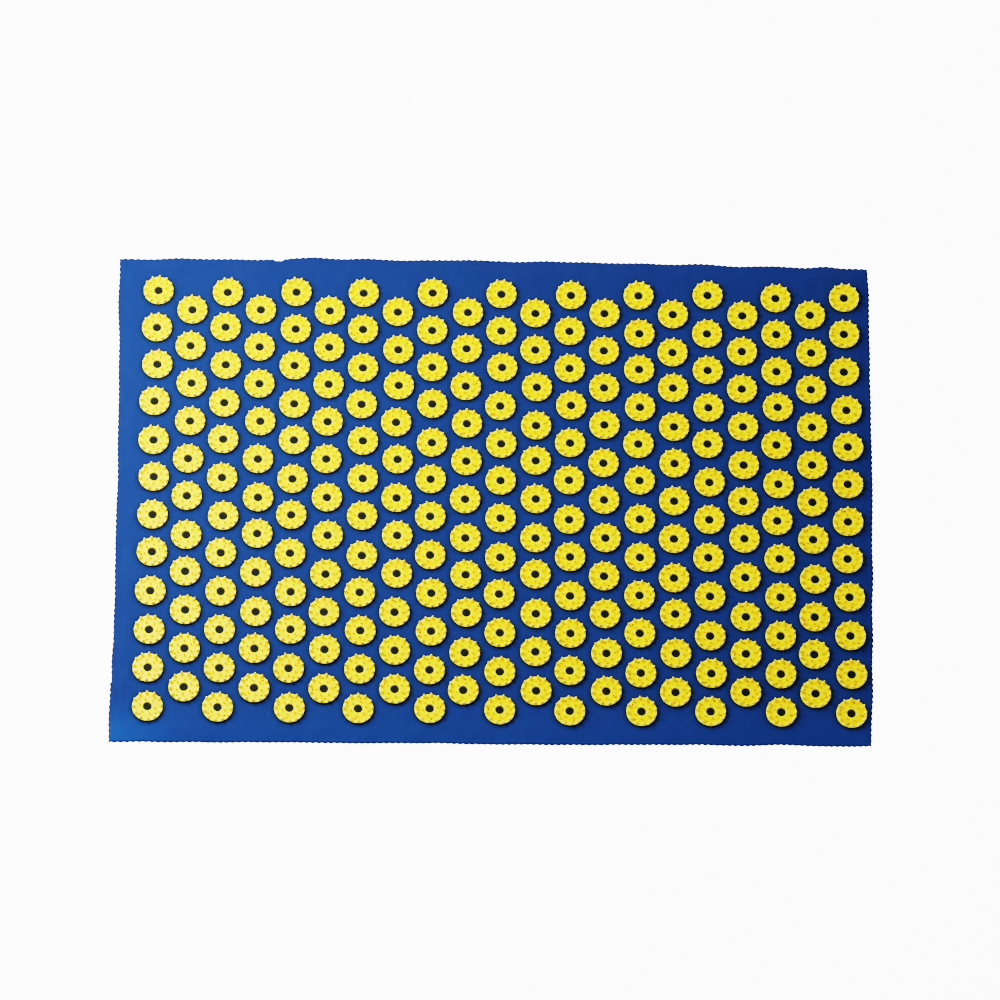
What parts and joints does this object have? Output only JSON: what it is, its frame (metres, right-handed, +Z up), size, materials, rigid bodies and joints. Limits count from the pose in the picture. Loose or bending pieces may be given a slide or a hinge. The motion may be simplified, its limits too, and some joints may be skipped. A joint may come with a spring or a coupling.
{
  "type": "acupressure mat",
  "caption": "Flat rectangular cloth mat with pinked edges, carrying staggered columns of round spiked plastic discs, each with a dark centre insert and a locking ring below.",
  "frame": {"origin": "middle of the mat's footprint, on the surface that it lies on", "axes": "+X along the long side, +Y along the short side, +Z up out of the spiked face"},
  "size_m": [0.6, 0.4168, 0.0092],
  "materials": {
    "cloth": "plain woven cotton cloth",
    "disc_plastic": "moulded, satin",
    "insert": "dull ferrite",
    "ring_plastic": "moulded, satin"
  },
  "bodies": {
    "root": {"mat_cloth": "cloth", "spike_disc_c00_r00": "disc_plastic", "spike_disc_c00_r06": "disc_plastic", "spike_disc_c00_r11": "disc_plastic", "spike_disc_c05_r00": "disc_plastic", "spike_disc_c05_r05": "disc_plastic", "spike_disc_c05_r10": "disc_plastic", "spike_disc_c10_r00": "disc_plastic", "spike_disc_c10_r06": "disc_plastic", "spike_disc_c10_r11": "disc_plastic", "spike_disc_c15_r00": "disc_plastic", "spike_disc_c15_r05": "disc_plastic", "spike_disc_c15_r10": "disc_plastic", "spike_disc_c20_r00": "disc_plastic", "spike_disc_c20_r06": "disc_plastic", "spike_disc_c20_r11": "disc_plastic", "magnet_insert_c00_r00": "insert", "magnet_insert_c00_r06": "insert", "magnet_insert_c00_r11": "insert", "magnet_insert_c05_r00": "insert", "magnet_insert_c05_r05": "insert", "magnet_insert_c05_r10": "insert", "magnet_insert_c10_r00": "insert", "magnet_insert_c10_r06": "insert", "magnet_insert_c10_r11": "insert", "magnet_insert_c15_r00": "insert", "magnet_insert_c15_r05": "insert", "magnet_insert_c15_r10": "insert", "magnet_insert_c20_r00": "insert", "magnet_insert_c20_r06": "insert", "magnet_insert_c20_r11": "insert", "lock_ring_c00_r00": "ring_plastic", "lock_ring_c00_r06": "ring_plastic", "lock_ring_c00_r11": "ring_plastic", "lock_ring_c05_r00": "ring_plastic", "lock_ring_c05_r05": "ring_plastic", "lock_ring_c05_r10": "ring_plastic", "lock_ring_c10_r00": "ring_plastic", "lock_ring_c10_r06": "ring_plastic", "lock_ring_c10_r11": "ring_plastic", "lock_ring_c15_r00": "ring_plastic", "lock_ring_c15_r05": "ring_plastic", "lock_ring_c15_r10": "ring_plastic", "lock_ring_c20_r00": "ring_plastic", "lock_ring_c20_r06": "ring_plastic", "lock_ring_c20_r11": "ring_plastic"}
  },
  "joints": []
}
